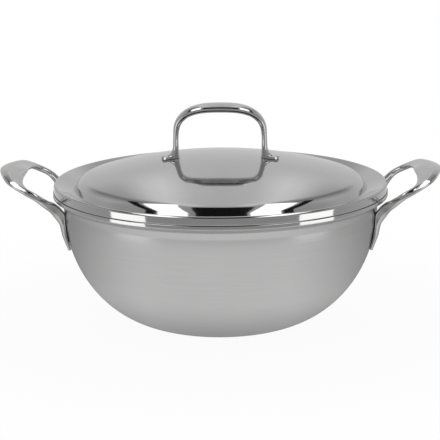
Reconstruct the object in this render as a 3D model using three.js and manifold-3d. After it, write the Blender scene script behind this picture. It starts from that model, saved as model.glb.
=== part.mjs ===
// A round two-handled saute pan with a domed lid, in millimetres, with +Z up.
// The origin is the centre of the flat base, and the loop handles lie along X.
import * as THREE from 'three';
import { mergeVertices } from 'three/addons/utils/BufferGeometryUtils.js';
import Module from 'manifold-3d';

const wasm = await Module();
wasm.setup();

const { degToRad, lerp } = THREE.MathUtils;

// Bowl: a flat base, a wall that is a quarter of an ellipse, and a flared pouring lip
const BASE_RADIUS = 49;
const WALL_RADIUS = 143;
const BOWL_DEPTH = 109;
const FLARE_RADIUS = 10;
const FLARE_ANGLE = degToRad(60);
const LIP_REACH = 9.4;
const LIP_CHAMFER = 0.5;
const LIP_EDGE_WIDTH = 1;

// Clad sheet of the bowl: steel outside, aluminium between, steel inside
const SKIN_WALL = 0.6;
const CORE_WALL = 1.8;
const LINER_WALL = 0.6;
const BOND_GAP = 0.1;

// Lid: a hem that nests in the lip, an upright edge, a sloping brim, a groove, a step and a dome
const LID_EDGE_INSET = 0.8;
const LID_WALL = 1.2;
const LID_SEAT_GAP = 0.3;
const ROLL_RADIUS = 2;
const EDGE_HEIGHT = 4.7;
const HEM_LENGTH = 3.6;
const BRIM_SLOPE = degToRad(25.4);
const BRIM_WIDTH = 17.6;
const GROOVE_FILLET = 2.5;
const STEP_HEIGHT = 10;
const STEP_SLOPE = degToRad(60);
const SHOULDER_FILLET = 16;
const DOME_CURVE_RADIUS = 438;

// Loop handles: cast bars with two feet, a leg from each, and a broad grip between the legs
const FOOT_GAP = 0.3;
const FOOT_TURN = degToRad(11.5);
const FOOT_LENGTH = 28;
const FOOT_TOP_DROP = 8;
const FOOT_TIP_WIDTH = 8;
const FOOT_WIDTH = 15;
const FOOT_TIP_WALL = 3.4;
const FOOT_WALL = 5.4;
const FOOT_ROOT_WALL = 8;
const ELBOW = { out: 5, aside: 35, rise: 2.5, lean: degToRad(30), width: 13, thickness: 9.5 };
const NECK = { out: 11.5, aside: 46, rise: 10.5, lean: degToRad(50), width: 12, thickness: 8 };
const LEG_WIDTH = 10.5;
const LEG_THICKNESS = 6.6;
const LEG_TILT = degToRad(10);
const LOOP_SPREAD = 57;
const GRIP_REACH = 45.6;
const GRIP_RISE = 32.2;
const GRIP_WIDTH = 25.2;
const GRIP_THICKNESS = 5.6;
const LEG_SLOPE = degToRad(29);
const GRIP_SLOPE = degToRad(6);

// Centre line of half a loop, as shares of the grip's reach and of the loop's spread
const LOOP_LINE = [
  { out: 0.43, aside: 0.96 },
  { out: 0.64, aside: 1 },
  { out: 0.85, aside: 0.83 },
  { out: 0.96, aside: 0.44 },
  { out: 1, aside: 0 },
];
const GRIP_START = 0.5;

// Lid bail: a cast arch with two oval feet
const BAIL_HALF_WIDTH = 40.2;
const BAIL_LEG_HEIGHT = 16.5;
const BAIL_ARCH_HEIGHT = 27.9;
const BAIL_SQUARENESS = 2.75;
const BAIL_LEG_THICKNESS = 5;
const BAIL_LEG_DEPTH = 10;
const BAIL_GRIP_THICKNESS = 8.2;
const BAIL_GRIP_DEPTH = 24;
const BAIL_TAPER = 2;
const BAIL_FOOT_OFFSET = 5.1;
const BAIL_FOOT_LENGTH = 16.6;
const BAIL_FOOT_DEPTH = 12;
const BAIL_FOOT_WALL = 2.2;

// Flare of a bail's leg into its foot, as shares of the leg's height and of the foot's size
const BAIL_FLARE = [
  { up: 0.27, foot: 0.5 },
  { up: 0.49, foot: 0.18 },
];

// Spot welds that hold the feet, each in a shallow recess of its foot
const WELD_RADIUS = 2.2;
const WELD_DEPTH = 1.2;
const WELD_GAP = 0.2;
const WELD_CLEARANCE = 0.3;
const WELD_UP_FOOT = { lower: 9, upper: 20 };
const BAIL_WELD_OFFSET = { inner: -3.2, outer: 3.2 };

// Fineness of the round forms
const TURN_STEPS = 40;
const BOWL_STEPS = 10;
const FLARE_STEPS = 3;
const DOME_STEPS = 5;
const CORNER_STEPS = 3;
const BAR_SIDES = 10;
const HANDLE_STEPS = 48;
const BAIL_ARCH_STATIONS = 6;
const BAIL_STEPS = 44;
const WELD_SIDES = 12;
const MERGE_DISTANCE = 1e-4;

// Finishes
const satinSteel = { color: 0xa9a9a7, roughness: 0.38, metalness: 1 };
const mirrorSteel = { color: 0xc4c4c2, roughness: 0.1, metalness: 1 };
const rawAluminium = { color: 0xbfc2c4, roughness: 0.55, metalness: 1 };
const weldSteel = { color: 0x8f8f8d, roughness: 0.6, metalness: 1 };

function point(x, y) {
  return new THREE.Vector2(x, y);
}

function place(x, y, z) {
  return new THREE.Vector3(x, y, z);
}

// One closed body from a geometry, with shared corners merged and slivers of no area left out
function toSolid(geometry) {
  const bare = geometry.clone();
  bare.deleteAttribute('normal');
  bare.deleteAttribute('uv');
  const merged = mergeVertices(bare, MERGE_DISTANCE);
  const index = merged.index.array;
  const triangles = [];
  for (let i = 0; i < index.length; i += 3) {
    const [a, b, c] = [index[i], index[i + 1], index[i + 2]];
    if (a !== b && b !== c && c !== a) {
      triangles.push(a, b, c);
    }
  }
  const vertProperties = new Float32Array(merged.attributes.position.array);
  const triVerts = new Uint32Array(triangles);
  return new wasm.Manifold(new wasm.Mesh({ numProp: 3, vertProperties, triVerts }));
}

function toGeometry(solid) {
  const mesh = solid.getMesh();
  const geometry = new THREE.BufferGeometry();
  geometry.setAttribute('position', new THREE.BufferAttribute(mesh.vertProperties, mesh.numProp));
  geometry.setIndex(new THREE.BufferAttribute(mesh.triVerts, 1));
  geometry.computeVertexNormals();
  return geometry;
}

function piece(name, geometry, finish) {
  const mesh = new THREE.Mesh(geometry, new THREE.MeshStandardMaterial(finish));
  mesh.name = name;
  return mesh;
}

// A body turned about Z from an outline of radius and height that starts and ends on the axis
function turned(outline) {
  return new THREE.LatheGeometry(outline, TURN_STEPS).rotateX(Math.PI / 2);
}

// Height of the straight part of the flare, at a depth below its outside and at a radius
function flareHeight(depth, radius) {
  const bend = FLARE_RADIUS + depth;
  const startRadius = WALL_RADIUS + FLARE_RADIUS - bend * Math.cos(FLARE_ANGLE);
  const startHeight = BOWL_DEPTH + bend * Math.sin(FLARE_ANGLE);
  return startHeight + (radius - startRadius) / Math.tan(FLARE_ANGLE);
}

// Point on the outside of the wall and its outward direction, from the share of the quarter turn
function wallPoint(out, down) {
  const spread = WALL_RADIUS - BASE_RADIUS;
  const at = point(BASE_RADIUS + spread * out, BOWL_DEPTH * (1 - down));
  const normal = point(out / spread, -down / BOWL_DEPTH).normalize();
  return { at, normal };
}

function wallAtHeight(height) {
  const down = 1 - height / BOWL_DEPTH;
  return wallPoint(Math.sqrt(1 - down * down), down);
}

// Surface of the bowl at a depth below its outside, from the axis to a given radius at the lip
function bowlSurface(depth, endRadius) {
  const path = [point(0, depth)];
  for (let i = 0; i <= BOWL_STEPS; i += 1) {
    const turn = (i / BOWL_STEPS) * (Math.PI / 2);
    const { at, normal } = wallPoint(Math.sin(turn), Math.cos(turn));
    path.push(at.addScaledVector(normal, -depth));
  }
  const bend = FLARE_RADIUS + depth;
  for (let i = 1; i <= FLARE_STEPS; i += 1) {
    const turn = (i / FLARE_STEPS) * FLARE_ANGLE;
    const radius = WALL_RADIUS + FLARE_RADIUS - bend * Math.cos(turn);
    path.push(point(radius, BOWL_DEPTH + bend * Math.sin(turn)));
  }
  path.push(point(endRadius, flareHeight(depth, endRadius)));
  return path;
}

// The bowl's three bonded layers: the outer skin turns up at the lip and closes over the others
const lipRadius = WALL_RADIUS + LIP_REACH;
const coreDepth = SKIN_WALL + BOND_GAP;
const linerDepth = coreDepth + CORE_WALL + BOND_GAP;
const bowlWall = linerDepth + LINER_WALL;
const innerEdge = lipRadius - LIP_EDGE_WIDTH;

function makeOuterSkin() {
  const lip = [
    point(lipRadius, flareHeight(bowlWall, lipRadius) - LIP_CHAMFER),
    point(lipRadius - LIP_CHAMFER, flareHeight(bowlWall, lipRadius - LIP_CHAMFER)),
    point(innerEdge, flareHeight(bowlWall, innerEdge)),
  ];
  const inside = bowlSurface(SKIN_WALL, innerEdge).reverse();
  return turned([...bowlSurface(0, lipRadius), ...lip, ...inside]);
}

function makeLayer(depth, wall) {
  const edge = innerEdge - BOND_GAP;
  const inside = bowlSurface(depth + wall, edge).reverse();
  return turned([...bowlSurface(depth, edge), ...inside]);
}

// Replaces each corner that has a radius by an arc, and keeps the other points as they are
function roundCorners(corners) {
  return corners.flatMap(({ at, radius }, i) => {
    if (!radius) {
      return [at];
    }
    const before = corners[i - 1].at.clone().sub(at).normalize();
    const after = corners[i + 1].at.clone().sub(at).normalize();
    const halfAngle = Math.acos(before.dot(after)) / 2;
    const inward = before.clone().add(after).normalize();
    const centre = at.clone().addScaledVector(inward, radius / Math.sin(halfAngle));
    const reach = radius / Math.tan(halfAngle);
    const first = at.clone().addScaledVector(before, reach).sub(centre);
    const last = at.clone().addScaledVector(after, reach).sub(centre);
    const sweep = Math.atan2(first.cross(last), first.dot(last));
    const arc = [];
    for (let step = 0; step <= CORNER_STEPS; step += 1) {
      const turn = (step / CORNER_STEPS) * sweep;
      arc.push(first.clone().rotateAround(point(0, 0), turn).add(centre));
    }
    return arc;
  });
}

// A path moved by a distance to the right of its direction; its start on the axis moves straight down
function beside(path, distance) {
  return path.map((at, i) => {
    if (i === 0) {
      return point(0, at.y - distance);
    }
    const ahead = path[Math.min(i + 1, path.length - 1)];
    const along = ahead.clone().sub(path[i - 1]).normalize();
    return point(at.x + along.y * distance, at.y - along.x * distance);
  });
}

// The lid's levels, from the hem in the lip up to the dome
const lidRadius = lipRadius - LID_EDGE_INSET;
const grooveRadius = lidRadius - BRIM_WIDTH;
const hemHeight = flareHeight(bowlWall, lidRadius) + LID_SEAT_GAP / Math.sin(FLARE_ANGLE);
const edgeTop = hemHeight + ROLL_RADIUS * Math.tan(FLARE_ANGLE / 2) + EDGE_HEIGHT;
const brimCorner = edgeTop + ROLL_RADIUS * Math.tan((Math.PI / 2 + BRIM_SLOPE) / 2);
const grooveHeight = brimCorner - BRIM_WIDTH * Math.tan(BRIM_SLOPE);
const shoulderRadius = grooveRadius - STEP_HEIGHT / Math.tan(STEP_SLOPE);
const shoulderHeight = grooveHeight + STEP_HEIGHT;
const domeCentre = shoulderHeight - Math.sqrt(DOME_CURVE_RADIUS ** 2 - shoulderRadius ** 2);

function domeHeight(radius) {
  return domeCentre + Math.sqrt(DOME_CURVE_RADIUS ** 2 - radius ** 2);
}

// Top surface of the lid, from the apex of the dome to the end of the rolled hem
function lidSurface() {
  const corners = [];
  for (let i = 0; i < DOME_STEPS; i += 1) {
    const radius = (i / DOME_STEPS) * shoulderRadius;
    corners.push({ at: point(radius, domeHeight(radius)) });
  }
  const hem = point(-Math.sin(FLARE_ANGLE), -Math.cos(FLARE_ANGLE)).multiplyScalar(HEM_LENGTH);
  corners.push(
    { at: point(shoulderRadius, shoulderHeight), radius: SHOULDER_FILLET },
    { at: point(grooveRadius, grooveHeight), radius: GROOVE_FILLET },
    { at: point(lidRadius, brimCorner), radius: ROLL_RADIUS },
    { at: point(lidRadius, hemHeight), radius: ROLL_RADIUS },
    { at: point(lidRadius, hemHeight).add(hem) },
  );
  return roundCorners(corners);
}

function makeLidShell() {
  const top = lidSurface();
  return turned([...beside(top, LID_WALL), ...top.reverse()]);
}

// A bar lofted through oval sections along a smooth line of stations
function bar(stations, steps) {
  const line = new THREE.CatmullRomCurve3(stations.map((s) => s.at));
  const sizes = new THREE.CatmullRomCurve3(stations.map((s) => place(s.width, s.thickness, 0)));
  const faces = new THREE.CatmullRomCurve3(stations.map((s) => s.face));
  const corners = [];
  for (let i = 0; i <= steps; i += 1) {
    const centre = line.getPoint(i / steps);
    const along = line.getTangent(i / steps);
    const size = sizes.getPoint(i / steps);
    const across = faces.getPoint(i / steps).cross(along).normalize();
    const face = along.clone().cross(across);
    for (let side = 0; side < BAR_SIDES; side += 1) {
      const turn = (side / BAR_SIDES) * 2 * Math.PI;
      const corner = centre.clone().addScaledVector(across, (size.x / 2) * Math.cos(turn));
      corners.push(corner.addScaledVector(face, (size.y / 2) * Math.sin(turn)));
    }
  }
  const index = [];
  for (let i = 0; i < steps; i += 1) {
    for (let side = 0; side < BAR_SIDES; side += 1) {
      const a = i * BAR_SIDES + side;
      const b = i * BAR_SIDES + ((side + 1) % BAR_SIDES);
      index.push(a, b, a + BAR_SIDES);
      index.push(b, b + BAR_SIDES, a + BAR_SIDES);
    }
  }
  const lastRing = steps * BAR_SIDES;
  for (let side = 1; side < BAR_SIDES - 1; side += 1) {
    index.push(0, side + 1, side);
    index.push(lastRing, lastRing + side, lastRing + side + 1);
  }
  const geometry = new THREE.BufferGeometry().setFromPoints(corners);
  geometry.setIndex(index);
  return geometry;
}

// A half line of stations, followed by its mirror image, without a second station in the middle
function mirrored(stations, axis) {
  const other = stations.slice(0, -1).reverse().map((station) => {
    const at = station.at.clone();
    const face = station.face.clone();
    at[axis] *= -1;
    face[axis] *= -1;
    return { ...station, at, face };
  });
  return [...stations, ...other];
}

// Half of a loop handle on the +X side, from the end of its foot to the middle of the grip
const footTop = BOWL_DEPTH - FOOT_TOP_DROP;
const footBottom = footTop - FOOT_LENGTH;

function footStation(height, width, thickness) {
  const out = wallAtHeight(height).at.x + FOOT_GAP + thickness / 4;
  const at = place(out * Math.cos(FOOT_TURN), -out * Math.sin(FOOT_TURN), height);
  return { at, face: place(-1, 0, 0), width, thickness };
}

// Facing direction of a bar that leans back from the wall and tilts down on its outer side
function tilted(lean, tilt) {
  const level = Math.cos(tilt);
  return place(-Math.cos(lean) * level, -Math.sin(tilt), Math.sin(lean) * level);
}

function bendStation({ out, aside, rise, lean, width, thickness }) {
  const at = place(WALL_RADIUS + out, -aside, BOWL_DEPTH + rise);
  return { at, face: tilted(lean, LEG_TILT), width, thickness };
}

function loopStation({ out, aside }) {
  const inGrip = out < GRIP_START ? 0 : Math.sqrt(1 - aside);
  const reach = GRIP_REACH * out;
  const height = BOWL_DEPTH + GRIP_RISE - (GRIP_REACH - reach) * Math.tan(LEG_SLOPE);
  return {
    at: place(WALL_RADIUS + reach, -LOOP_SPREAD * aside, height),
    face: tilted(Math.PI / 2 - lerp(LEG_SLOPE, GRIP_SLOPE, inGrip), LEG_TILT * (1 - inGrip)),
    width: lerp(LEG_WIDTH, GRIP_WIDTH, inGrip),
    thickness: lerp(LEG_THICKNESS, GRIP_THICKNESS, inGrip),
  };
}

function loopHandleStations() {
  const half = [
    footStation(footBottom, FOOT_TIP_WIDTH, FOOT_TIP_WALL),
    footStation((footBottom + footTop) / 2, FOOT_WIDTH, FOOT_WALL),
    footStation(footTop, FOOT_WIDTH, FOOT_ROOT_WALL),
    bendStation(ELBOW),
    bendStation(NECK),
    ...LOOP_LINE.map(loopStation),
  ];
  return mirrored(half, 'y');
}

// Half of the lid bail on the -X side, from its foot on the dome to the top of the arch
const bailFootReach = BAIL_HALF_WIDTH + BAIL_FOOT_OFFSET;
const bailFootHeight = domeHeight(bailFootReach);
const springHeight = domeHeight(0) + BAIL_LEG_HEIGHT;

function bailFootStation(up, foot) {
  return {
    at: place(-BAIL_HALF_WIDTH - BAIL_FOOT_OFFSET * foot, 0, bailFootHeight + up),
    face: place(-1, 0, 0),
    width: lerp(BAIL_LEG_DEPTH, BAIL_FOOT_DEPTH, foot),
    thickness: lerp(BAIL_LEG_THICKNESS, BAIL_FOOT_LENGTH, foot),
  };
}

function bailArchStation(turn) {
  const out = Math.cos(turn) ** (2 / BAIL_SQUARENESS);
  const up = Math.sin(turn) ** (2 / BAIL_SQUARENESS);
  return {
    at: place(-BAIL_HALF_WIDTH * out, 0, springHeight + BAIL_ARCH_HEIGHT * up),
    face: place(-Math.cos(turn), 0, Math.sin(turn)),
    width: lerp(BAIL_LEG_DEPTH, BAIL_GRIP_DEPTH, Math.sin(turn) ** BAIL_TAPER),
    thickness: lerp(BAIL_LEG_THICKNESS, BAIL_GRIP_THICKNESS, Math.sin(turn)),
  };
}

function bailStations() {
  const half = [
    bailFootStation(-BAIL_FOOT_WALL, 1),
    bailFootStation(BAIL_FOOT_WALL, 1),
    ...BAIL_FLARE.map(({ up, foot }) => bailFootStation(up * BAIL_LEG_HEIGHT, foot)),
  ];
  for (let i = 0; i <= BAIL_ARCH_STATIONS; i += 1) {
    half.push(bailArchStation((i / BAIL_ARCH_STATIONS) * (Math.PI / 2)));
  }
  return mirrored(half, 'x');
}

// Room that the bowl and its lip take up, with the gap that a foot keeps to the wall
function makeBowlRoom() {
  const outside = bowlSurface(-FOOT_GAP, lipRadius + FOOT_GAP);
  const top = flareHeight(bowlWall, lipRadius) + FOOT_GAP;
  return toSolid(turned([...outside, point(lipRadius + FOOT_GAP, top), point(0, top)]));
}

// Room that the middle of the lid takes up, with the gap that a foot keeps to the dome
function makeDomeRoom() {
  const dome = beside(lidSurface().slice(0, DOME_STEPS), -FOOT_GAP);
  const edge = dome[dome.length - 1];
  return toSolid(turned([point(0, grooveHeight), point(edge.x, grooveHeight), ...dome.reverse()]));
}

// Seat of a weld: where a ray meets the outside of a mesh, and the direction that the face looks
function seatOn(mesh, from, direction) {
  const [hit] = new THREE.Raycaster(from, direction).intersectObject(mesh);
  return { at: hit.point, outward: hit.face.normal.clone() };
}

function wallSeat(skin, height, turn) {
  const inward = place(-Math.cos(turn), -Math.sin(turn), 0);
  const from = inward.clone().multiplyScalar(-2 * WALL_RADIUS);
  from.z = height;
  return seatOn(skin, from, inward);
}

function domeSeat(shell, x) {
  return seatOn(shell, place(x, 0, 2 * domeHeight(0)), place(0, 0, -1));
}

function weldPose({ at, outward }) {
  const turn = new THREE.Quaternion().setFromUnitVectors(place(0, 1, 0), outward);
  const centre = at.clone().addScaledVector(outward, WELD_GAP + WELD_DEPTH / 2);
  return new THREE.Matrix4().compose(centre, turn, place(1, 1, 1));
}

function weldShape(clearance) {
  const radius = WELD_RADIUS + clearance;
  return new THREE.CylinderGeometry(radius, radius, WELD_DEPTH + 2 * clearance, WELD_SIDES);
}

function makeWeld(name, seat) {
  const weld = piece(name, weldShape(0), weldSteel);
  weld.applyMatrix4(weldPose(seat));
  return weld;
}

// A lofted bar, cut back to the room of what carries it and recessed over its welds
function makeHandle(stations, steps, room, seats) {
  let solid = toSolid(bar(stations, steps)).subtract(room);
  for (const seat of seats) {
    solid = solid.subtract(toSolid(weldShape(WELD_CLEARANCE).applyMatrix4(weldPose(seat))));
  }
  return toGeometry(solid);
}

// Pan: the bonded bowl, and a loop handle on each side with its welds
function makePan() {
  const pan = new THREE.Group();
  const skin = piece('pan_outer_skin', makeOuterSkin(), satinSteel);
  pan.add(skin);
  pan.add(piece('pan_core', makeLayer(coreDepth, CORE_WALL), rawAluminium));
  pan.add(piece('pan_inner_liner', makeLayer(linerDepth, LINER_WALL), satinSteel));
  const welds = [];
  for (const [level, up] of Object.entries(WELD_UP_FOOT)) {
    welds.push({ level, sign: -1, seat: wallSeat(skin, footBottom + up, -FOOT_TURN) });
    welds.push({ level, sign: 1, seat: wallSeat(skin, footBottom + up, FOOT_TURN) });
  }
  const seats = welds.map((weld) => weld.seat);
  const loop = makeHandle(loopHandleStations(), HANDLE_STEPS, makeBowlRoom(), seats);
  for (const [side, facing] of [['right', 1], ['left', -1]]) {
    const group = new THREE.Group();
    group.rotation.z = facing > 0 ? 0 : Math.PI;
    group.add(piece(`${side}_handle`, loop, mirrorSteel));
    for (const { level, sign, seat } of welds) {
      const end = sign * facing < 0 ? 'front' : 'rear';
      group.add(makeWeld(`${side}_handle_weld_${end}_${level}`, seat));
    }
    pan.add(group);
  }
  return pan;
}

// Lid: the pressed shell and the bail with its welds
function makeLid() {
  const lid = new THREE.Group();
  const shell = piece('lid_shell', makeLidShell(), mirrorSteel);
  lid.add(shell);
  const seats = [];
  for (const [side, facing] of [['left', -1], ['right', 1]]) {
    for (const [end, offset] of Object.entries(BAIL_WELD_OFFSET)) {
      const seat = domeSeat(shell, facing * (bailFootReach + offset));
      lid.add(makeWeld(`lid_handle_weld_${side}_${end}`, seat));
      seats.push(seat);
    }
  }
  const bail = makeHandle(bailStations(), BAIL_STEPS, makeDomeRoom(), seats);
  lid.add(piece('lid_handle', bail, mirrorSteel));
  return lid;
}

const sautePan = new THREE.Group();
sautePan.add(makePan(), makeLid());

export default sautePan;
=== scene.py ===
import math

import bpy
from mathutils import Matrix, Vector


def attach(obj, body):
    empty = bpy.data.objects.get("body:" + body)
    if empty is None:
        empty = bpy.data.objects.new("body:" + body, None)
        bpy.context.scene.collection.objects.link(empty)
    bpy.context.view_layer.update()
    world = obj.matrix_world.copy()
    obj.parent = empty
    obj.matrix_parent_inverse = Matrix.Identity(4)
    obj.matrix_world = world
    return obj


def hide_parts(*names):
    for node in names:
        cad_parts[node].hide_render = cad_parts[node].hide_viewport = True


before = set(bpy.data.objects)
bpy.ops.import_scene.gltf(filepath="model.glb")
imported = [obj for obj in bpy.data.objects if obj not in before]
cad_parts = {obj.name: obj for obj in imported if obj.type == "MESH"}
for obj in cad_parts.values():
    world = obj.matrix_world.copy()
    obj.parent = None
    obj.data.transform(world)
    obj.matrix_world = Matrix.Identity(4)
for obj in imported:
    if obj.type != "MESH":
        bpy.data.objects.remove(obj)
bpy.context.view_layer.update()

# Outer skin of the bowl
# A disc of stainless steel, drawn to a round wall on a flat base, with the lip flared out for pouring.
# It is bonded to the layers inside it, turned up at the lip over their edges, and brushed round and round.

BASE_RADIUS = 0.049
WALL_RADIUS = 0.143
BOWL_DEPTH = 0.109
FLARE_RADIUS = 0.010
FLARE_ANGLE = math.radians(60)
LIP_RADIUS = 0.1524
LIP_EDGE = 0.0004
SKIN_WALL = 0.0006
BOND_GAP = 0.0001
CORE_WALL = 0.0018
LINER_WALL = 0.0006
BOWL_WALL = SKIN_WALL + BOND_GAP + CORE_WALL + BOND_GAP + LINER_WALL
LIP_FOLD = 0.001
LAYER_EDGE = LIP_RADIUS - LIP_FOLD
BOWL_STEPS = 56
FLARE_STEPS = 16
ARC_STEPS = 4
ARC_STEPS_PER_RADIAN = 14
SHARP_ANGLE = math.radians(50)
MARK_SPAN = (0.3, 0.7)
SCRATCH_DEPTH = 0.00002
RING_DRIFT = 26
CLOUD_SHARE = 0.4
EDGE_BLEND = 0.0003
EDGE_POLISH = 0.3


def flare_height(depth, radius):
    """Height of the flared lip at a radius and at a depth below its outside."""
    bend = FLARE_RADIUS + depth
    start = WALL_RADIUS + FLARE_RADIUS - bend * math.cos(FLARE_ANGLE)
    return BOWL_DEPTH + bend * math.sin(FLARE_ANGLE) + (radius - start) / math.tan(FLARE_ANGLE)


def bowl_surface(depth, end_radius):
    """Radius and height of the bowl at a depth below its outside, from the axis to the lip."""
    path = [(0, depth)]
    spread = WALL_RADIUS - BASE_RADIUS
    for step in range(BOWL_STEPS + 1):
        turn = step / BOWL_STEPS * math.pi / 2
        out, down = math.sin(turn), math.cos(turn)
        lean = Vector((out / spread, -down / BOWL_DEPTH)).normalized()
        path.append((BASE_RADIUS + spread * out - lean.x * depth, BOWL_DEPTH * (1 - down) - lean.y * depth))
    bend = FLARE_RADIUS + depth
    for step in range(1, FLARE_STEPS + 1):
        turn = step / FLARE_STEPS * FLARE_ANGLE
        path.append(
            (WALL_RADIUS + FLARE_RADIUS - bend * math.cos(turn), BOWL_DEPTH + bend * math.sin(turn))
        )
    path.append((end_radius, flare_height(depth, end_radius)))
    return path


def eased(corners):
    """A path in which each corner with a radius is an arc."""
    path = []
    for spot, (radius, height, ease) in enumerate(corners):
        at = Vector((radius, height))
        if not ease:
            path.append((radius, height))
            continue
        before = (Vector(corners[spot - 1][:2]) - at).normalized()
        after = (Vector(corners[spot + 1][:2]) - at).normalized()
        half = before.angle(after) / 2
        centre = at + (before + after).normalized() * (ease / math.sin(half))
        first = at + before * (ease / math.tan(half)) - centre
        last = at + after * (ease / math.tan(half)) - centre
        sweep = math.atan2(first.x * last.y - first.y * last.x, first.dot(last))
        steps = ARC_STEPS + round(abs(sweep) * ARC_STEPS_PER_RADIAN)
        for step in range(steps + 1):
            spoke = Matrix.Rotation(sweep * step / steps, 2) @ first
            path.append((centre.x + spoke.x, centre.y + spoke.y))
    return path


def spun(name, path, turns=224):
    """A closed sheet-metal body turned about the upright axis; its path starts and ends on the axis."""
    corners, faces = [(0, 0, path[0][1])], []
    rings = path[1:-1]
    for radius, height in rings:
        for turn in range(turns):
            angle = 2 * math.pi * turn / turns
            corners.append((radius * math.cos(angle), radius * math.sin(angle), height))
    corners.append((0, 0, path[-1][1]))
    top, last = len(corners) - 1, 1 + (len(rings) - 1) * turns
    for turn in range(turns):
        beside = (turn + 1) % turns
        faces.append((0, 1 + beside, 1 + turn))
        for ring in range(len(rings) - 1):
            low = 1 + ring * turns
            faces.append((low + turn, low + beside, low + turns + beside, low + turns + turn))
        faces.append((last + turn, last + beside, top))
    return smooth_body(name, corners, faces)


def smooth_body(name, corners, faces):
    """A body of corners and faces, shaded smooth except at its sharp edges."""
    mesh = bpy.data.meshes.new(name)
    mesh.from_pydata(corners, [], faces)
    mesh.shade_smooth()
    mesh.set_sharp_from_angle(angle=SHARP_ANGLE)
    body = bpy.data.objects.new(name, mesh)
    bpy.context.scene.collection.objects.link(body)
    return body


def bare_metal(name):
    """A new metal finish, with its node tree and the place on the piece."""
    finish = bpy.data.materials.new(name)
    finish.use_nodes = True
    tree = finish.node_tree
    tree.nodes["Principled BSDF"].inputs["Metallic"].default_value = 1
    return finish, tree, tree.nodes.new("ShaderNodeTexCoord").outputs["Object"]


def reckoned(tree, operation, *values):
    """The outcome of a sum on values of the tree and plain numbers."""
    outcome = tree.nodes.new("ShaderNodeMath")
    outcome.operation = operation
    for socket, value in zip(outcome.inputs, values):
        if isinstance(value, float):
            socket.default_value = value
        else:
            tree.links.new(value, socket)
    return outcome.outputs[0]


def measured(tree, operation, vector):
    """The length or the direction of a vector."""
    measure = tree.nodes.new("ShaderNodeVectorMath")
    measure.operation = operation
    tree.links.new(vector, measure.inputs[0])
    return measure.outputs["Value" if operation == "LENGTH" else "Vector"]


def split(tree, vector):
    """The X, Y and Z of a vector."""
    parts = tree.nodes.new("ShaderNodeSeparateXYZ")
    tree.links.new(vector, parts.inputs[0])
    return parts.outputs


def graded(tree, value, span, result=(0, 1), smooth=False):
    """A value carried over from one range to another, and held at the ends."""
    grade = tree.nodes.new("ShaderNodeMapRange")
    if smooth:
        grade.interpolation_type = "SMOOTHSTEP"
    for end, spot, number in zip(("Min", "Max"), span, result):
        grade.inputs[f"From {end}"].default_value = spot
        grade.inputs[f"To {end}"].default_value = number
    tree.links.new(value, grade.inputs["Value"])
    return grade.outputs[0]


def specks(tree, vector, scale, detail):
    """Irregular marks, as fine as the scale says."""
    noise = tree.nodes.new("ShaderNodeTexNoise")
    noise.inputs["Scale"].default_value = scale
    noise.inputs["Detail"].default_value = detail
    tree.links.new(vector, noise.inputs["Vector"])
    return noise.outputs[0]


def mottle(tree, marks, shades):
    """Lets the marks on a finish vary its colour from one shade to another."""
    shade = tree.nodes.new("ShaderNodeValToRGB")
    for stop, spot, colour in zip(shade.color_ramp.elements, MARK_SPAN, shades):
        stop.position = spot
        stop.color = (*colour, 1)
    tree.links.new(marks, shade.inputs[0])
    tree.links.new(shade.outputs[0], tree.nodes["Principled BSDF"].inputs["Base Color"])


def scratch(tree, marks, relief):
    """Lets the marks on a finish stand out as fine scratches."""
    scratches = tree.nodes.new("ShaderNodeBump")
    scratches.inputs["Strength"].default_value = relief
    scratches.inputs["Distance"].default_value = SCRATCH_DEPTH
    tree.links.new(marks, scratches.inputs["Height"])
    tree.links.new(scratches.outputs[0], tree.nodes["Principled BSDF"].inputs["Normal"])


def turned_steel(name, shades, roughness, relief, pitch=2600, bright_edge=1):
    """Bare metal with fine rings left by a turning wheel, polished beyond the radius of a bright edge."""
    finish, tree, place = bare_metal(name)
    along = split(tree, place)
    level = tree.nodes.new("ShaderNodeCombineXYZ")
    tree.links.new(along["X"], level.inputs["X"])
    tree.links.new(along["Y"], level.inputs["Y"])
    reach = measured(tree, "LENGTH", level.outputs[0])
    section = tree.nodes.new("ShaderNodeCombineXYZ")
    tree.links.new(reach, section.inputs["X"])
    tree.links.new(along["Z"], section.inputs["Y"])
    rings = tree.nodes.new("ShaderNodeVectorMath")
    rings.operation = "SCALE"
    rings.inputs["Scale"].default_value = pitch
    tree.links.new(section.outputs[0], rings.inputs[0])
    broken = tree.nodes.new("ShaderNodeVectorMath")
    broken.operation = "MULTIPLY_ADD"
    broken.inputs[1].default_value = (RING_DRIFT, RING_DRIFT, RING_DRIFT)
    tree.links.new(place, broken.inputs[0])
    tree.links.new(rings.outputs[0], broken.inputs[2])
    grain = specks(tree, broken.outputs[0], scale=1, detail=3)
    marks = tree.nodes.new("ShaderNodeMix")
    marks.inputs[0].default_value = CLOUD_SHARE
    tree.links.new(grain, marks.inputs[2])
    tree.links.new(specks(tree, place, scale=14, detail=4), marks.inputs[3])
    mottle(tree, marks.outputs[0], shades)
    sheen = graded(tree, marks.outputs[0], MARK_SPAN, roughness)
    polish = graded(tree, reach, (bright_edge, bright_edge + EDGE_BLEND), (1, EDGE_POLISH))
    gloss = reckoned(tree, "MULTIPLY", sheen, polish)
    tree.links.new(gloss, tree.nodes["Principled BSDF"].inputs["Roughness"])
    scratch(tree, grain, relief)
    return finish


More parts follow.
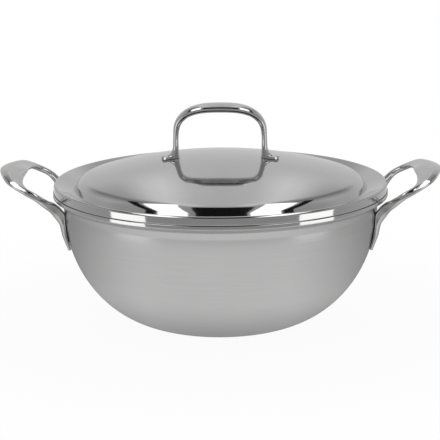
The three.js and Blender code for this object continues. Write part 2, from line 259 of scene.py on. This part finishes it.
lip_top = flare_height(BOWL_WALL, LIP_RADIUS)
lip = eased(
    [
        (*bowl_surface(0, LIP_RADIUS)[-2], 0),
        (LIP_RADIUS, flare_height(0, LIP_RADIUS), LIP_EDGE),
        (LIP_RADIUS, lip_top, LIP_EDGE),
        (LAYER_EDGE, flare_height(BOWL_WALL, LAYER_EDGE), 0),
    ]
)
outer_skin = spun(
    "bowl_outer_skin",
    bowl_surface(0, LIP_RADIUS)[:-1] + lip[1:] + bowl_surface(SKIN_WALL, LAYER_EDGE)[::-1],
)
satin_steel = turned_steel(
    "satin_steel",
    shades=((0.51, 0.51, 0.508), (0.57, 0.57, 0.567)),
    roughness=(0.20, 0.27),
    relief=0.2,
    bright_edge=LIP_RADIUS - LIP_EDGE,
)
outer_skin.data.materials.append(satin_steel)
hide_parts("pan_outer_skin")
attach(outer_skin, "pan")

# Aluminium core
# A thicker layer of aluminium, bonded between the two skins so that heat spreads through base and wall.
# It is rolled sheet, drawn in one press with the steel, and its edge is shut in under the lip.

CORE_DEPTH = SKIN_WALL + BOND_GAP
core_edge = LAYER_EDGE - BOND_GAP
core = spun(
    "bowl_aluminium_core",
    bowl_surface(CORE_DEPTH, core_edge) + bowl_surface(CORE_DEPTH + CORE_WALL, core_edge)[::-1],
    turns=128,
)
rolled_aluminium = turned_steel(
    "rolled_aluminium",
    shades=((0.66, 0.67, 0.68), (0.76, 0.77, 0.78)),
    roughness=(0.42, 0.58),
    relief=0.4,
    pitch=1400,
)
core.data.materials.append(rolled_aluminium)
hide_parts("pan_core")
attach(core, "pan")

# Cooking surface
# The inner skin of stainless steel that the food touches, bonded to the core from base to lip.
# It is brushed a little finer than the outside, in rings round the bowl.

LINER_DEPTH = CORE_DEPTH + CORE_WALL + BOND_GAP
liner = spun(
    "bowl_cooking_surface",
    bowl_surface(LINER_DEPTH, core_edge) + bowl_surface(BOWL_WALL, core_edge)[::-1],
)
brushed_steel = turned_steel(
    "brushed_steel",
    shades=((0.55, 0.55, 0.54), (0.63, 0.63, 0.62)),
    roughness=(0.24, 0.33),
    relief=0.35,
    pitch=3200,
)
liner.data.materials.append(brushed_steel)
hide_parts("pan_inner_liner")
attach(liner, "pan")

# Loop handles of the pan
# Two solid castings of stainless steel, each a broad grip on two legs that end in feet against the wall.
# They are ground and polished bright, and held by spot welds between each foot and the wall.

FOOT_GAP = 0.0003
FOOT_TURN = math.radians(11.5)
LEG_SLOPE = math.radians(29)
GRIP_SLOPE = math.radians(6)
GRIP_REACH = 0.0456
GRIP_RISE = 0.0322
LOOP_SPREAD = 0.057
LEG_TILT = math.radians(19)
LEG_SECTION = (0.0084, 0.0053)
GRIP_SECTION = (0.0246, 0.0056)
FOOT_CENTRE = 0.25
# Height, width and thickness of a foot's sections, from its tip up
FOOT_SECTIONS = ((0.073, 0.008, 0.0034), (0.087, 0.015, 0.0054), (0.101, 0.015, 0.008))
# Way out, aside and up from the start of the lip, then lean, width and thickness of each bend
ELBOW = (0.005, 0.035, 0.0025, math.radians(30), 0.0115, 0.0085)
NECK = (0.0115, 0.0475, 0.0105, math.radians(50), 0.0096, 0.0066)
# Line of a leg and half the grip, as shares of the grip's reach and of the loop's spread
LOOP_LINE = ((0.43, 0.925), (0.64, 0.90), (0.85, 0.745), (0.96, 0.40), (1, 0))
GRIP_START = 0.7
GRIP_TAPER = 0.6
GRIP_RIDGE = 0.65
RIDGE_LINE = 0.4
LEG_SQUARENESS = 2.3
GRIP_SQUARENESS = 3
MILLIMETRES = 1000
LINE_END = 0.999999
MOP_TURN = (0.4, 0.7, 0.9)
MOP_MARKS = (160, 2400, 2400)


def between(low, high, share):
    """A value at a share of the way from one to another."""
    return low + (high - low) * share


def wall_radius(height):
    """Outside radius of the bowl and its lip at a height."""
    if height < BOWL_DEPTH:
        down = 1 - max(height, 0) / BOWL_DEPTH
        return BASE_RADIUS + (WALL_RADIUS - BASE_RADIUS) * math.sqrt(1 - down * down)
    rise = height - BOWL_DEPTH
    bend_top = FLARE_RADIUS * math.sin(FLARE_ANGLE)
    if rise < bend_top:
        return WALL_RADIUS + FLARE_RADIUS - math.sqrt(FLARE_RADIUS**2 - rise**2)
    reach = WALL_RADIUS + FLARE_RADIUS * (1 - math.cos(FLARE_ANGLE))
    return min(LIP_RADIUS, reach + (rise - bend_top) * math.tan(FLARE_ANGLE))


def flowing(points, share):
    """A point on a smooth line through the given points, and the line's direction there."""
    place = min(share, LINE_END) * (len(points) - 1)
    spot = int(place)
    share = place - spot
    one, two = points[spot], points[spot + 1]
    zero = points[spot - 1] if spot else one * 2 - two
    three = points[spot + 2] if spot + 2 < len(points) else two * 2 - one
    gap = (two - one).length ** 0.5 or 1
    gap_before, gap_after = (one - zero).length ** 0.5 or gap, (three - two).length ** 0.5 or gap
    leave = (one - zero) / gap_before - (two - zero) / (gap_before + gap) + (two - one) / gap
    reach = (two - one) / gap - (three - one) / (gap + gap_after) + (three - two) / gap_after
    leave, reach = leave * gap, reach * gap
    bend, twist = (two - one) * 3 - leave * 2 - reach, (one - two) * 2 + leave + reach
    at = one + leave * share + bend * share**2 + twist * share**3
    along = leave + bend * (2 * share) + twist * (3 * share**2)
    return at, along.normalized()


def cast_bar(name, stations, keep_clear, ridge=0, level=0, steps=288, sides=44):
    """A solid casting lofted along stations of centre, facing, width, thickness and squareness.

    A ridge runs along its outer half, as a share of the thickness, and the sections near its ends stay level.
    """
    centres, facings, widths, thicknesses, squareness = zip(*stations)
    sections = [Vector((*size, 0)) * MILLIMETRES for size in zip(widths, thicknesses)]
    squareness += squareness[-1:]
    corners, faces = [], []
    for step in range(steps + 1):
        share = step / steps
        at, along = flowing(centres, share)
        if min(share, 1 - share) < level:
            along = Vector((0, 0, 1 if share < 0.5 else -1))
        across = flowing(facings, share)[0].cross(along).normalized()
        facing = along.cross(across)
        width, thickness, _ = flowing(sections, share)[0] / MILLIMETRES
        spot = int(share * (len(stations) - 1))
        power = 2 / between(*squareness[spot : spot + 2], share * (len(stations) - 1) - spot)
        for side in range(sides):
            turn = 2 * math.pi * side / sides
            wide, deep = math.cos(turn), math.sin(turn)
            wide = math.copysign(abs(wide) ** power, wide)
            deep = math.copysign(abs(deep) ** power, deep)
            if deep > 0:
                inner, outer = (1 - wide) / (1 + RIDGE_LINE), (1 + wide) / (1 - RIDGE_LINE)
                tent = inner if wide > -RIDGE_LINE else outer
                deep *= 1 - ridge / 2 + ridge * tent
            corners.append(keep_clear(at + across * (wide * width / 2) + facing * (deep * thickness / 2)))
    for step in range(steps):
        low = step * sides
        for side in range(sides):
            beside = (side + 1) % sides
            faces.append((low + side, low + beside, low + sides + beside, low + sides + side))
    faces.append(tuple(range(sides))[::-1])
    faces.append(tuple(steps * sides + side for side in range(sides)))
    return smooth_body(name, corners, faces)


def outside_the_wall(corner):
    """Moves a corner of a foot out of the wall, to the gap that the weld leaves."""
    reach = math.hypot(corner.x, corner.y)
    clear = wall_radius(corner.z) + FOOT_GAP
    if reach < clear and corner.z < lip_top:
        return Vector((corner.x * clear / reach, corner.y * clear / reach, corner.z))
    return corner


def tilted(lean, tilt):
    """Facing of a bar that leans back from the wall and tilts down on its outer side."""
    level = math.cos(tilt)
    return Vector((-math.cos(lean) * level, -math.sin(tilt), math.sin(lean) * level))


def loop_handle_stations():
    """Stations of half a loop handle, from the tip of its front foot to the middle of its grip."""
    stations = []
    for height, width, thickness in FOOT_SECTIONS:
        out = wall_radius(height) + FOOT_GAP + thickness * FOOT_CENTRE
        at = Vector((out * math.cos(FOOT_TURN), -out * math.sin(FOOT_TURN), height))
        stations.append((at, Vector((-1, 0, 0)), width, thickness, LEG_SQUARENESS))
    for out, aside, rise, lean, width, thickness in (ELBOW, NECK):
        at = Vector((WALL_RADIUS + out, -aside, BOWL_DEPTH + rise))
        stations.append((at, tilted(lean, LEG_TILT), width, thickness, LEG_SQUARENESS))
    for out, aside in LOOP_LINE:
        grip = 0 if out < GRIP_START else (1 - aside) ** GRIP_TAPER
        height = BOWL_DEPTH + GRIP_RISE - GRIP_REACH * (1 - out) * math.tan(LEG_SLOPE)
        at = Vector((WALL_RADIUS + GRIP_REACH * out, -LOOP_SPREAD * aside, height))
        facing = tilted(math.pi / 2 - between(LEG_SLOPE, GRIP_SLOPE, grip), LEG_TILT * (1 - grip))
        width = between(LEG_SECTION[0], GRIP_SECTION[0], grip)
        thickness = between(LEG_SECTION[1], GRIP_SECTION[1], grip)
        squareness = between(LEG_SQUARENESS, GRIP_SQUARENESS, grip)
        stations.append((at, facing, width, thickness, squareness))
    return stations


def with_mirror(stations, flip):
    """Half a bar's stations, followed by their mirror image."""
    other = []
    for at, facing, *section in stations[-2::-1]:
        other.append((at * flip, facing * flip, *section))
    return stations + other


def cast_steel(name, shades, roughness, relief):
    """Polished casting: bright, with faint hazy patches and the fine criss-cross of a polishing mop."""
    finish, tree, place = bare_metal(name)
    haze = specks(tree, place, scale=90, detail=5)
    stretch = tree.nodes.new("ShaderNodeMapping")
    stretch.inputs["Rotation"].default_value = MOP_TURN
    stretch.inputs["Scale"].default_value = MOP_MARKS
    tree.links.new(place, stretch.inputs["Vector"])
    mottle(tree, haze, shades)
    sheen = graded(tree, haze, MARK_SPAN, roughness)
    tree.links.new(sheen, tree.nodes["Principled BSDF"].inputs["Roughness"])
    scratch(tree, specks(tree, stretch.outputs[0], scale=1, detail=2), relief)
    return finish


polished_steel = cast_steel(
    "polished_steel",
    shades=((0.52, 0.52, 0.518), (0.58, 0.58, 0.577)),
    roughness=(0.05, 0.10),
    relief=0.0,
)
for side, turn in (("right", 0), ("left", math.pi)):
    loop = cast_bar(
        f"{side}_loop_handle",
        with_mirror(loop_handle_stations(), Vector((1, -1, 1))),
        outside_the_wall,
        ridge=GRIP_RIDGE,
    )
    loop.data.transform(Matrix.Rotation(turn, 4, "Z"))
    loop.data.materials.append(polished_steel)
    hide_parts(f"{side}_handle")
    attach(loop, "pan")

# Welds of the loop handles
# Small round nuggets of fused steel, two behind each foot, that fix the castings to the wall.
# They are made by a spot welder and stay dull and slightly blue-grey where the heat has tinted them.

fused_steel = cast_steel(
    "fused_steel",
    shades=((0.24, 0.25, 0.27), (0.40, 0.39, 0.38)),
    roughness=(0.45, 0.65),
    relief=0.6,
)
for side in ("right", "left"):
    for end in ("front", "rear"):
        for level in ("lower", "upper"):
            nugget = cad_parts[f"{side}_handle_weld_{end}_{level}"]
            nugget.data.materials.clear()
            nugget.data.materials.append(fused_steel)

# Lid
# One disc of stainless steel, pressed to a low dome with a step, a groove and a brim that rises to the edge.
# The edge is rolled over and down into the flared lip, and the whole lid is polished to a mirror.

LID_INSET = 0.0008
LID_RADIUS = LIP_RADIUS - LID_INSET
LID_WALL = 0.0012
LID_SEAT_GAP = 0.0003
HEM_LENGTH = 0.0036
HEM_ROLL = 0.001
EDGE_RISE = 0.0054
TOP_ROLL = 0.0022
BRIM_SLOPE = math.radians(24.95)
BRIM_WIDTH = 0.0176
GROOVE_FILLET = 0.0025
STEP_HEIGHT = 0.010
STEP_SLOPE = math.radians(60)
SHOULDER_FILLET = 0.014
DOME_CURVE = 0.438
DOME_STEPS = 40

hem_height = flare_height(BOWL_WALL, LID_RADIUS) + LID_SEAT_GAP / math.sin(FLARE_ANGLE)
edge_top = hem_height + EDGE_RISE
brim_height = edge_top + TOP_ROLL * math.tan((math.pi / 2 + BRIM_SLOPE) / 2)
groove_radius = LID_RADIUS - BRIM_WIDTH
groove_height = brim_height - BRIM_WIDTH * math.tan(BRIM_SLOPE)
shoulder_radius = groove_radius - STEP_HEIGHT / math.tan(STEP_SLOPE)
shoulder_height = groove_height + STEP_HEIGHT
dome_centre = shoulder_height - math.sqrt(DOME_CURVE**2 - shoulder_radius**2)


def dome_height(radius):
    """Height of the dome at a radius."""
    return dome_centre + math.sqrt(DOME_CURVE**2 - radius**2)


def lid_surface():
    """Radius and height of the lid's top, from the apex to the end of the rolled hem."""
    dome = [step / DOME_STEPS * shoulder_radius for step in range(DOME_STEPS - 2)]
    corners = [(radius, dome_height(radius), 0) for radius in dome]
    corners += [
        (shoulder_radius, shoulder_height, SHOULDER_FILLET),
        (groove_radius, groove_height, GROOVE_FILLET),
        (LID_RADIUS, brim_height, TOP_ROLL),
        (LID_RADIUS, hem_height, HEM_ROLL),
        (
            LID_RADIUS - HEM_LENGTH * math.sin(FLARE_ANGLE),
            hem_height - HEM_LENGTH * math.cos(FLARE_ANGLE),
            0,
        ),
    ]
    return eased(corners)


def underside(path, wall):
    """A sheet's lower face, at its thickness from the upper one."""
    below = [(0, path[0][1] - wall)]
    for spot in range(1, len(path)):
        ahead = Vector(path[min(spot + 1, len(path) - 1)])
        along = (ahead - Vector(path[spot - 1])).normalized()
        below.append((path[spot][0] + along.y * wall, path[spot][1] - along.x * wall))
    return below


lid = spun("lid", underside(lid_surface(), LID_WALL) + lid_surface()[::-1], turns=256)
mirror_steel = turned_steel(
    "mirror_steel",
    shades=((0.52, 0.52, 0.518), (0.57, 0.57, 0.567)),
    roughness=(0.05, 0.09),
    relief=0.03,
)
lid.data.materials.append(mirror_steel)
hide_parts("lid_shell")
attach(lid, "lid")

# Bail of the lid
# A solid cast arch of stainless steel with a broad grip, thin legs and two oval feet on the dome.
# It is polished like the loop handles and spot-welded to the lid through its feet.

BAIL_HALF_WIDTH = 0.0402
BAIL_LEG_HEIGHT = 0.0165
BAIL_ARCH_HEIGHT = 0.0279
BAIL_SQUARENESS = 2.75
BAIL_LEG = (0.010, 0.005)
BAIL_GRIP = (0.024, 0.0082)
BAIL_FOOT = (0.012, 0.0166)
BAIL_FOOT_OFFSET = 0.0051
# Height over the dome, and share of the way from the leg's section to the foot's
BAIL_FLARE = (
    (-0.0022, 1),
    (0.0012, 1),
    (0.0022, 0.97),
    (0.0025, 0.72),
    (0.0031, 0.47),
    (0.0045, 0.30),
    (0.0066, 0.15),
    (0.0100, 0.04),
)
BAIL_ARCH_STATIONS = 6
BAIL_LEG_SQUARENESS = 2.1
BAIL_GRIP_SQUARENESS = 2.4


def above_the_dome(corner):
    """Moves a corner of a bail's foot up out of the dome, to the gap that the weld leaves."""
    seat = dome_height(math.hypot(corner.x, corner.y)) + FOOT_GAP
    return Vector((corner.x, corner.y, max(corner.z, seat)))


def bail_stations():
    """Stations of half the bail, from under its left foot to the middle of its grip."""
    stations = []
    foot_height = dome_height(BAIL_HALF_WIDTH + BAIL_FOOT_OFFSET)
    for up, foot in BAIL_FLARE:
        at = Vector((-BAIL_HALF_WIDTH - BAIL_FOOT_OFFSET * foot, 0, foot_height + up))
        width = between(BAIL_LEG[0], BAIL_FOOT[0], foot)
        thickness = between(BAIL_LEG[1], BAIL_FOOT[1], foot)
        stations.append((at, Vector((-1, 0, 0)), width, thickness, BAIL_LEG_SQUARENESS))
    for step in range(BAIL_ARCH_STATIONS + 1):
        turn = step / BAIL_ARCH_STATIONS * math.pi / 2
        rise = math.sin(turn)
        fall = math.cos(turn) if step < BAIL_ARCH_STATIONS else 0
        at = Vector(
            (
                -BAIL_HALF_WIDTH * fall ** (2 / BAIL_SQUARENESS),
                0,
                dome_height(0) + BAIL_LEG_HEIGHT + BAIL_ARCH_HEIGHT * rise ** (2 / BAIL_SQUARENESS),
            )
        )
        width = between(BAIL_LEG[0], BAIL_GRIP[0], rise**2)
        thickness = between(BAIL_LEG[1], BAIL_GRIP[1], rise)
        squareness = between(BAIL_LEG_SQUARENESS, BAIL_GRIP_SQUARENESS, rise)
        stations.append((at, Vector((-fall, 0, rise)), width, thickness, squareness))
    return stations


bail = cast_bar(
    "lid_bail",
    with_mirror(bail_stations(), Vector((-1, 1, 1))),
    above_the_dome,
    level=len(BAIL_FLARE) / (2 * (len(BAIL_FLARE) + BAIL_ARCH_STATIONS)),
)
bail.data.materials.append(polished_steel)
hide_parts("lid_handle")
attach(bail, "lid")

# Welds of the bail
# Two nuggets of fused steel under each foot of the bail, made like those of the loop handles.
# They sit in shallow recesses of the feet, so that only the joint line shows.

for side in ("left", "right"):
    for end in ("inner", "outer"):
        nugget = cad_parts[f"lid_handle_weld_{side}_{end}"]
        nugget.data.materials.clear()
        nugget.data.materials.append(fused_steel)

# Studio
# A round white table in a grey surround that brightens behind the pan, with bands of light overhead.
# Softboxes, a black card and black flags of cloth hang above the pan, and low panels stand at its sides.
# The steel takes its look from these; to the lens, table and backdrop are white but for a trace of shadow.
# To the steel the table glows with painted light, brighter towards the front and in a strip behind the pan,
# with a painted shadow under the pan.

TABLE_RADIUS = 0.6
TABLE_SIDES = 192
TABLE_DROP = 0.0003
TABLE_COLOUR = (0.88, 0.88, 0.88)
SHADOW_SPAN = (0.15, 0.45)
SHADOW_WHITE = 0.95
# Painted light on the table, seen only by the steel: brighter towards the front
PAINTED_LIGHT_FRONT_SPAN = (-0.75, 1)
PAINTED_LIGHT_FRONT_LEVELS = (0.86, 0.195)
# Painted shadow on the table under the pan, seen only by the steel: its span and depth
PAINTED_SHADOW_SPAN = (0.04, 0.145)
PAINTED_SHADOW_LEVEL = 0.3
# Painted light on the table, seen only by the steel: a bright strip behind the pan
PAINTED_STRIP_SPAN = (0.03, 0.155)
PAINTED_STRIP_START = (0.04, 0.2)
PAINTED_STRIP_LEVEL = 0.5
# Place from front to back, and the grey there
SURROUND = ((0.0, 0.36), (0.5, 0.44), (1.0, 0.66))
# Distance to the side of the middle, and the grey there
OVERHEAD = (
    (0.0, 0.66),
    (0.07, 0.70),
    (0.13, 0.92),
    (0.16, 0.86),
    (0.21, 0.52),
    (0.38, 0.24),
    (0.48, 0.34),
    (0.70, 0.60),
)
OVERHEAD_SHIFT = 0.012
OVERHEAD_RISE = (0.28, 0.55)
OVERHEAD_START = (0.1, 0.4)
SOFTBOX = ((0.237, 0.397, 1.085), (0.561, 0.230, 1.064), (0.737, -0.675, 0.788), (0.397, -0.811, 0.909))
SOFTBOX_GLOW = 2.2
BLACK_CARD = ((-0.214, 0.012, 1.160), (0.265, -0.030, 1.152), (0.335, -0.917, 0.752), (-0.283, -0.930, 0.757))
BLACK_FLAG = ((0.536, 0.367, 1.022), (0.602, 0.411, 0.961), (0.862, -0.506, 0.778), (0.763, -0.572, 0.844))
PANEL_AZIMUTHS = (math.radians(-59), math.radians(64))
PANEL_DISTANCE = 0.955
PANEL_SIZE = (0.433, 0.32)
PANEL_HEIGHT = 0.04
PANEL_GLOW = 1.35
PANEL_AIM = Vector((0, 0, 0.1))
FELT_COLOUR = (0.004, 0.004, 0.004)


def layered(tree, share, under, over, output):
    """Covers one look with another, by a share, and shows the two."""
    cover = tree.nodes.new("ShaderNodeMixShader")
    for value, socket in zip((share, under.outputs[0], over.outputs[0]), cover.inputs):
        tree.links.new(value, socket)
    tree.links.new(cover.outputs[0], tree.nodes[output].inputs["Surface"])


def greys(tree, value, stops):
    """Greys that follow a value through given stops."""
    ramp = tree.nodes.new("ShaderNodeValToRGB")
    for spot, grey in stops[2:]:
        ramp.color_ramp.elements.new(spot)
    for stop, (spot, grey) in zip(ramp.color_ramp.elements, stops):
        stop.position = spot
        stop.color = (grey, grey, grey, 1)
    tree.links.new(value, ramp.inputs[0])
    return ramp.outputs[0]


table_mesh = bpy.data.meshes.new("table")
edge = [2 * math.pi * turn / TABLE_SIDES for turn in range(TABLE_SIDES)]
table_mesh.from_pydata(
    [(TABLE_RADIUS * math.cos(turn), TABLE_RADIUS * math.sin(turn), -TABLE_DROP) for turn in edge],
    [],
    [tuple(range(TABLE_SIDES))],
)
table = bpy.data.objects.new("table", table_mesh)
bpy.context.scene.collection.objects.link(table)
paper = bpy.data.materials.new("table_paper_painted_glow")
paper.use_nodes = True
tree = paper.node_tree
tree.nodes.remove(tree.nodes["Principled BSDF"])
matt = tree.nodes.new("ShaderNodeBsdfDiffuse")
matt.inputs["Color"].default_value = (*TABLE_COLOUR, 1)
white_and_painted_glow = tree.nodes.new("ShaderNodeEmission")
seen = tree.nodes.new("ShaderNodeLightPath").outputs
place = tree.nodes.new("ShaderNodeTexCoord").outputs["Object"]
from_axis = measured(tree, "LENGTH", place)
to_lens = reckoned(
    tree,
    "MULTIPLY",
    seen["Is Camera Ray"],
    graded(tree, from_axis, SHADOW_SPAN, (SHADOW_WHITE, 1), smooth=True),
)
round_pan = split(tree, measured(tree, "NORMALIZE", place))
# Painted light: for the steel the table glows brighter towards the front
painted_front_light = graded(tree, round_pan["Y"], PAINTED_LIGHT_FRONT_SPAN, PAINTED_LIGHT_FRONT_LEVELS)
# Painted shadow: the table's glow for the steel falls off under the pan
painted_shadow_under_pan = graded(tree, from_axis, PAINTED_SHADOW_SPAN, (PAINTED_SHADOW_LEVEL, 1), smooth=True)
painted_light_and_shadow = reckoned(tree, "MULTIPLY", painted_front_light, painted_shadow_under_pan)
# Painted light: a bright strip on the table behind the pan, added to the glow the steel sees
on_table = split(tree, place)
painted_back_strip = graded(tree, reckoned(tree, "ABSOLUTE", on_table["X"]), PAINTED_STRIP_SPAN, (PAINTED_STRIP_LEVEL, 0), smooth=True)
painted_strip_past_pan = graded(tree, on_table["Y"], PAINTED_STRIP_START, smooth=True)
painted_table_light = reckoned(tree, "MULTIPLY_ADD", painted_back_strip, painted_strip_past_pan, painted_light_and_shadow)
# The lens sees the table white; the steel sees its painted light and painted shadow as a glow
tree.links.new(reckoned(tree, "MAXIMUM", seen["Is Camera Ray"], painted_table_light), white_and_painted_glow.inputs["Strength"])
layered(tree, reckoned(tree, "ADD", to_lens, seen["Is Glossy Ray"]), matt, white_and_painted_glow, "Material Output")
table_mesh.materials.append(paper)

surround = bpy.data.worlds.new("soft_surround")
bpy.context.scene.world = surround
surround.use_nodes = True
tree = surround.node_tree
cloth = tree.nodes["Background"]
backdrop = tree.nodes.new("ShaderNodeBackground")
backdrop.inputs["Color"].default_value = (1, 1, 1, 1)
towards = split(tree, tree.nodes.new("ShaderNodeTexCoord").outputs["Generated"])
fade = greys(tree, graded(tree, towards["Y"], (-1, 1)), SURROUND)
aside = reckoned(tree, "ABSOLUTE", reckoned(tree, "ADD", towards["X"], OVERHEAD_SHIFT))
ceiling = greys(tree, aside, OVERHEAD)
above = graded(tree, towards["Z"], OVERHEAD_RISE, smooth=True)
behind = graded(tree, towards["Y"], OVERHEAD_START, smooth=True)
room = tree.nodes.new("ShaderNodeMix")
room.data_type = "RGBA"
tree.links.new(reckoned(tree, "MULTIPLY", above, behind), room.inputs[0])
tree.links.new(fade, room.inputs[6])
tree.links.new(ceiling, room.inputs[7])
tree.links.new(room.outputs[2], cloth.inputs["Color"])
seen = tree.nodes.new("ShaderNodeLightPath").outputs
layered(tree, seen["Is Camera Ray"], cloth, backdrop, "World Output")


def hang_light(name, centre, across, up, glow):
    """A soft panel of even glow, from its centre and the full lengths of its sides."""
    panel = bpy.data.lights.new(name, "AREA")
    panel.shape = "RECTANGLE"
    panel.size, panel.size_y = across.length, up.length
    panel.energy = glow * math.pi * across.length * up.length
    lamp = bpy.data.objects.new(name, panel)
    side, rise = across.normalized(), up.normalized()
    face = side.cross(rise).normalized()
    if face.dot(centre - PANEL_AIM) < 0:
        side, face = -side, -face
    turn = Matrix((side, face.cross(side), face)).transposed().to_4x4()
    lamp.matrix_world = Matrix.Translation(centre) @ turn
    lamp.visible_camera = False
    bpy.context.scene.collection.objects.link(lamp)


for azimuth in PANEL_AZIMUTHS:
    out = Vector((math.sin(azimuth), -math.cos(azimuth), 0))
    hang_light(
        "side_panel",
        out * PANEL_DISTANCE + Vector((0, 0, PANEL_HEIGHT)),
        out.cross(Vector((0, 0, 1))) * PANEL_SIZE[0],
        Vector((0, 0, PANEL_SIZE[1])),
        PANEL_GLOW,
    )


def hang_card(name, corners, cover):
    """A flat card of cloth between four corners, out of the camera's sight."""
    card_mesh = bpy.data.meshes.new(name)
    card_mesh.from_pydata(corners, [], [(0, 1, 2, 3)])
    card_mesh.materials.append(cover)
    card = bpy.data.objects.new(name, card_mesh)
    card.visible_camera = False
    bpy.context.scene.collection.objects.link(card)


felt = bpy.data.materials.new("black_felt")
felt.use_nodes = True
felt.node_tree.nodes["Principled BSDF"].inputs["Base Color"].default_value = (*FELT_COLOUR, 1)
felt.node_tree.nodes["Principled BSDF"].inputs["Roughness"].default_value = 1
glowing_cloth = bpy.data.materials.new("softbox_cloth")
glowing_cloth.use_nodes = True
tree = glowing_cloth.node_tree
tree.nodes.remove(tree.nodes["Principled BSDF"])
glow = tree.nodes.new("ShaderNodeEmission")
glow.inputs["Strength"].default_value = SOFTBOX_GLOW
tree.links.new(glow.outputs[0], tree.nodes["Material Output"].inputs["Surface"])
hang_card("black_card", BLACK_CARD, felt)
for side, hand in (("left", -1), ("right", 1)):
    hang_card(f"{side}_softbox", [(hand * x, y, z) for x, y, z in SOFTBOX], glowing_cloth)
    hang_card(f"{side}_black_flag", [(hand * x, y, z) for x, y, z in BLACK_FLAG], felt)

# Camera
# A long lens in front of the pan, looking down on it at about 13 degrees, as the photograph was taken.
# It stands about a degree to one side, leans by less than half a degree, and is shifted a few pixels.

CAMERA_TARGET = Vector((0, 0, 0.090))
CAMERA_DISTANCE = 1.5
CAMERA_ELEVATION = math.radians(13.352)
CAMERA_LEAN = math.radians(0.42)
CAMERA_AZIMUTH = math.radians(1.3)
SENSOR_WIDTH = 36
LENS_LENGTH = 133.49
FRAME_WIDTH_PIXELS = 440
FRAME_SHIFT_PIXELS = (-0.71, 3.72)

lens = bpy.data.cameras.new("camera")
lens.sensor_width = SENSOR_WIDTH
lens.lens = LENS_LENGTH
lens.shift_x = FRAME_SHIFT_PIXELS[0] / FRAME_WIDTH_PIXELS
lens.shift_y = FRAME_SHIFT_PIXELS[1] / FRAME_WIDTH_PIXELS
camera = bpy.data.objects.new("camera", lens)
back = Vector((0, -math.cos(CAMERA_ELEVATION), math.sin(CAMERA_ELEVATION)))
back.rotate(Matrix.Rotation(CAMERA_AZIMUTH, 3, "Z"))
camera.location = CAMERA_TARGET + back * CAMERA_DISTANCE
aim = (-back).to_track_quat("-Z", "Y").to_matrix().to_4x4()
camera.rotation_euler = (aim @ Matrix.Rotation(-CAMERA_LEAN, 4, "Z")).to_euler()
bpy.context.scene.collection.objects.link(camera)
bpy.context.scene.camera = camera
bpy.context.scene.view_settings.view_transform = "Standard"
